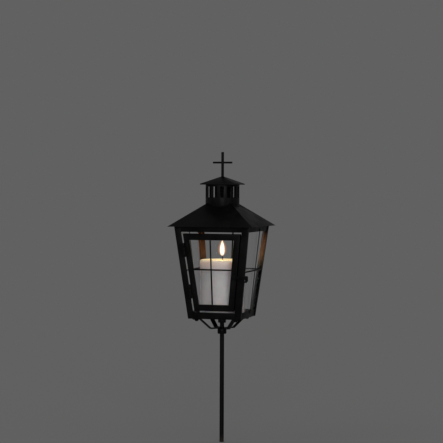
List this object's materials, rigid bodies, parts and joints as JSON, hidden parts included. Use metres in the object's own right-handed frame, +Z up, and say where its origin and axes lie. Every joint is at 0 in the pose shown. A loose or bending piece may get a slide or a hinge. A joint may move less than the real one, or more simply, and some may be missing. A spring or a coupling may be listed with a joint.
{
  "type": "grave lantern",
  "caption": "Grave lantern on a ground stake: glazed tapering body, hinged door with drop latch, vented pyramid roof, cross and candle.",
  "frame": {"origin": "on the stake's axis at the ground line", "axes": "+Z up along the stake, -Y towards the door, +X to the right as seen from the door"},
  "size_m": [0.16, 0.16, 0.7345],
  "materials": {
    "black_paint": "semi-matt black lacquer on sheet steel",
    "zinc_hardware": "zinc-plated nuts and washer",
    "pane_glass": "clear window glass",
    "candle_wax": "off-white candle wax, satin",
    "wick_cord": "burnt cotton cord",
    "flame_light": "glowing flame body"
  },
  "bodies": {
    "lantern": {"stake": "black_paint", "hub": "black_paint", "strap_front_right": "black_paint", "strap_rear_right": "black_paint", "strap_rear_left": "black_paint", "strap_front_left": "black_paint", "strap_rivet_front_right": "black_paint", "strap_rivet_rear_right": "black_paint", "strap_rivet_rear_left": "black_paint", "strap_rivet_front_left": "black_paint", "base_pan": "black_paint", "post_front_left": "black_paint", "post_front_right": "black_paint", "post_rear_left": "black_paint", "post_rear_right": "black_paint", "top_rail_front": "black_paint", "top_rail_right": "black_paint", "top_rail_rear": "black_paint", "top_rail_left": "black_paint", "bars_right": "black_paint", "bars_rear": "black_paint", "bars_left": "black_paint", "pane_clip_right_front": "black_paint", "pane_clip_right_rear": "black_paint", "pane_clip_rear_right": "black_paint", "pane_clip_rear_left": "black_paint", "pane_clip_left_rear": "black_paint", "pane_clip_left_front": "black_paint", "hinge_upper_post_leaf": "black_paint", "hinge_upper_pin": "black_paint", "hinge_lower_post_leaf": "black_paint", "hinge_lower_pin": "black_paint", "catch_stud": "black_paint", "roof": "black_paint", "vent_collar": "black_paint", "cap": "black_paint", "cap_bridge": "black_paint", "cross": "black_paint", "stake_washer": "zinc_hardware", "stake_nut": "zinc_hardware", "cross_nut": "zinc_hardware", "pane_right": "pane_glass", "pane_rear": "pane_glass", "pane_left": "pane_glass", "candle": "candle_wax", "wick": "wick_cord", "flame": "flame_light"},
    "door": {"door_frame": "black_paint", "door_pane": "pane_glass", "door_bars": "black_paint", "door_clip_upper_left": "black_paint", "door_clip_upper_right": "black_paint", "door_clip_lower_left": "black_paint", "door_clip_lower_right": "black_paint", "hinge_upper_door_leaf": "black_paint", "hinge_lower_door_leaf": "black_paint", "latch_rivet": "black_paint"},
    "latch": {"latch_lever": "black_paint"}
  },
  "joints": [
    {"name": "door_hinge", "type": "hinge", "parent": "lantern", "child": "door", "pos_m": [-0.04708, -0.06261, 0.31826], "axis": [0.1185, 0.1185, -0.9858], "range_deg": [0, 110]},
    {"name": "latch_lift", "type": "hinge", "parent": "door", "child": "latch", "pos_m": [0.04032, -0.06021, 0.30789], "axis": [0, -0.9928, -0.1194], "range_deg": [0, 60]}
  ]
}
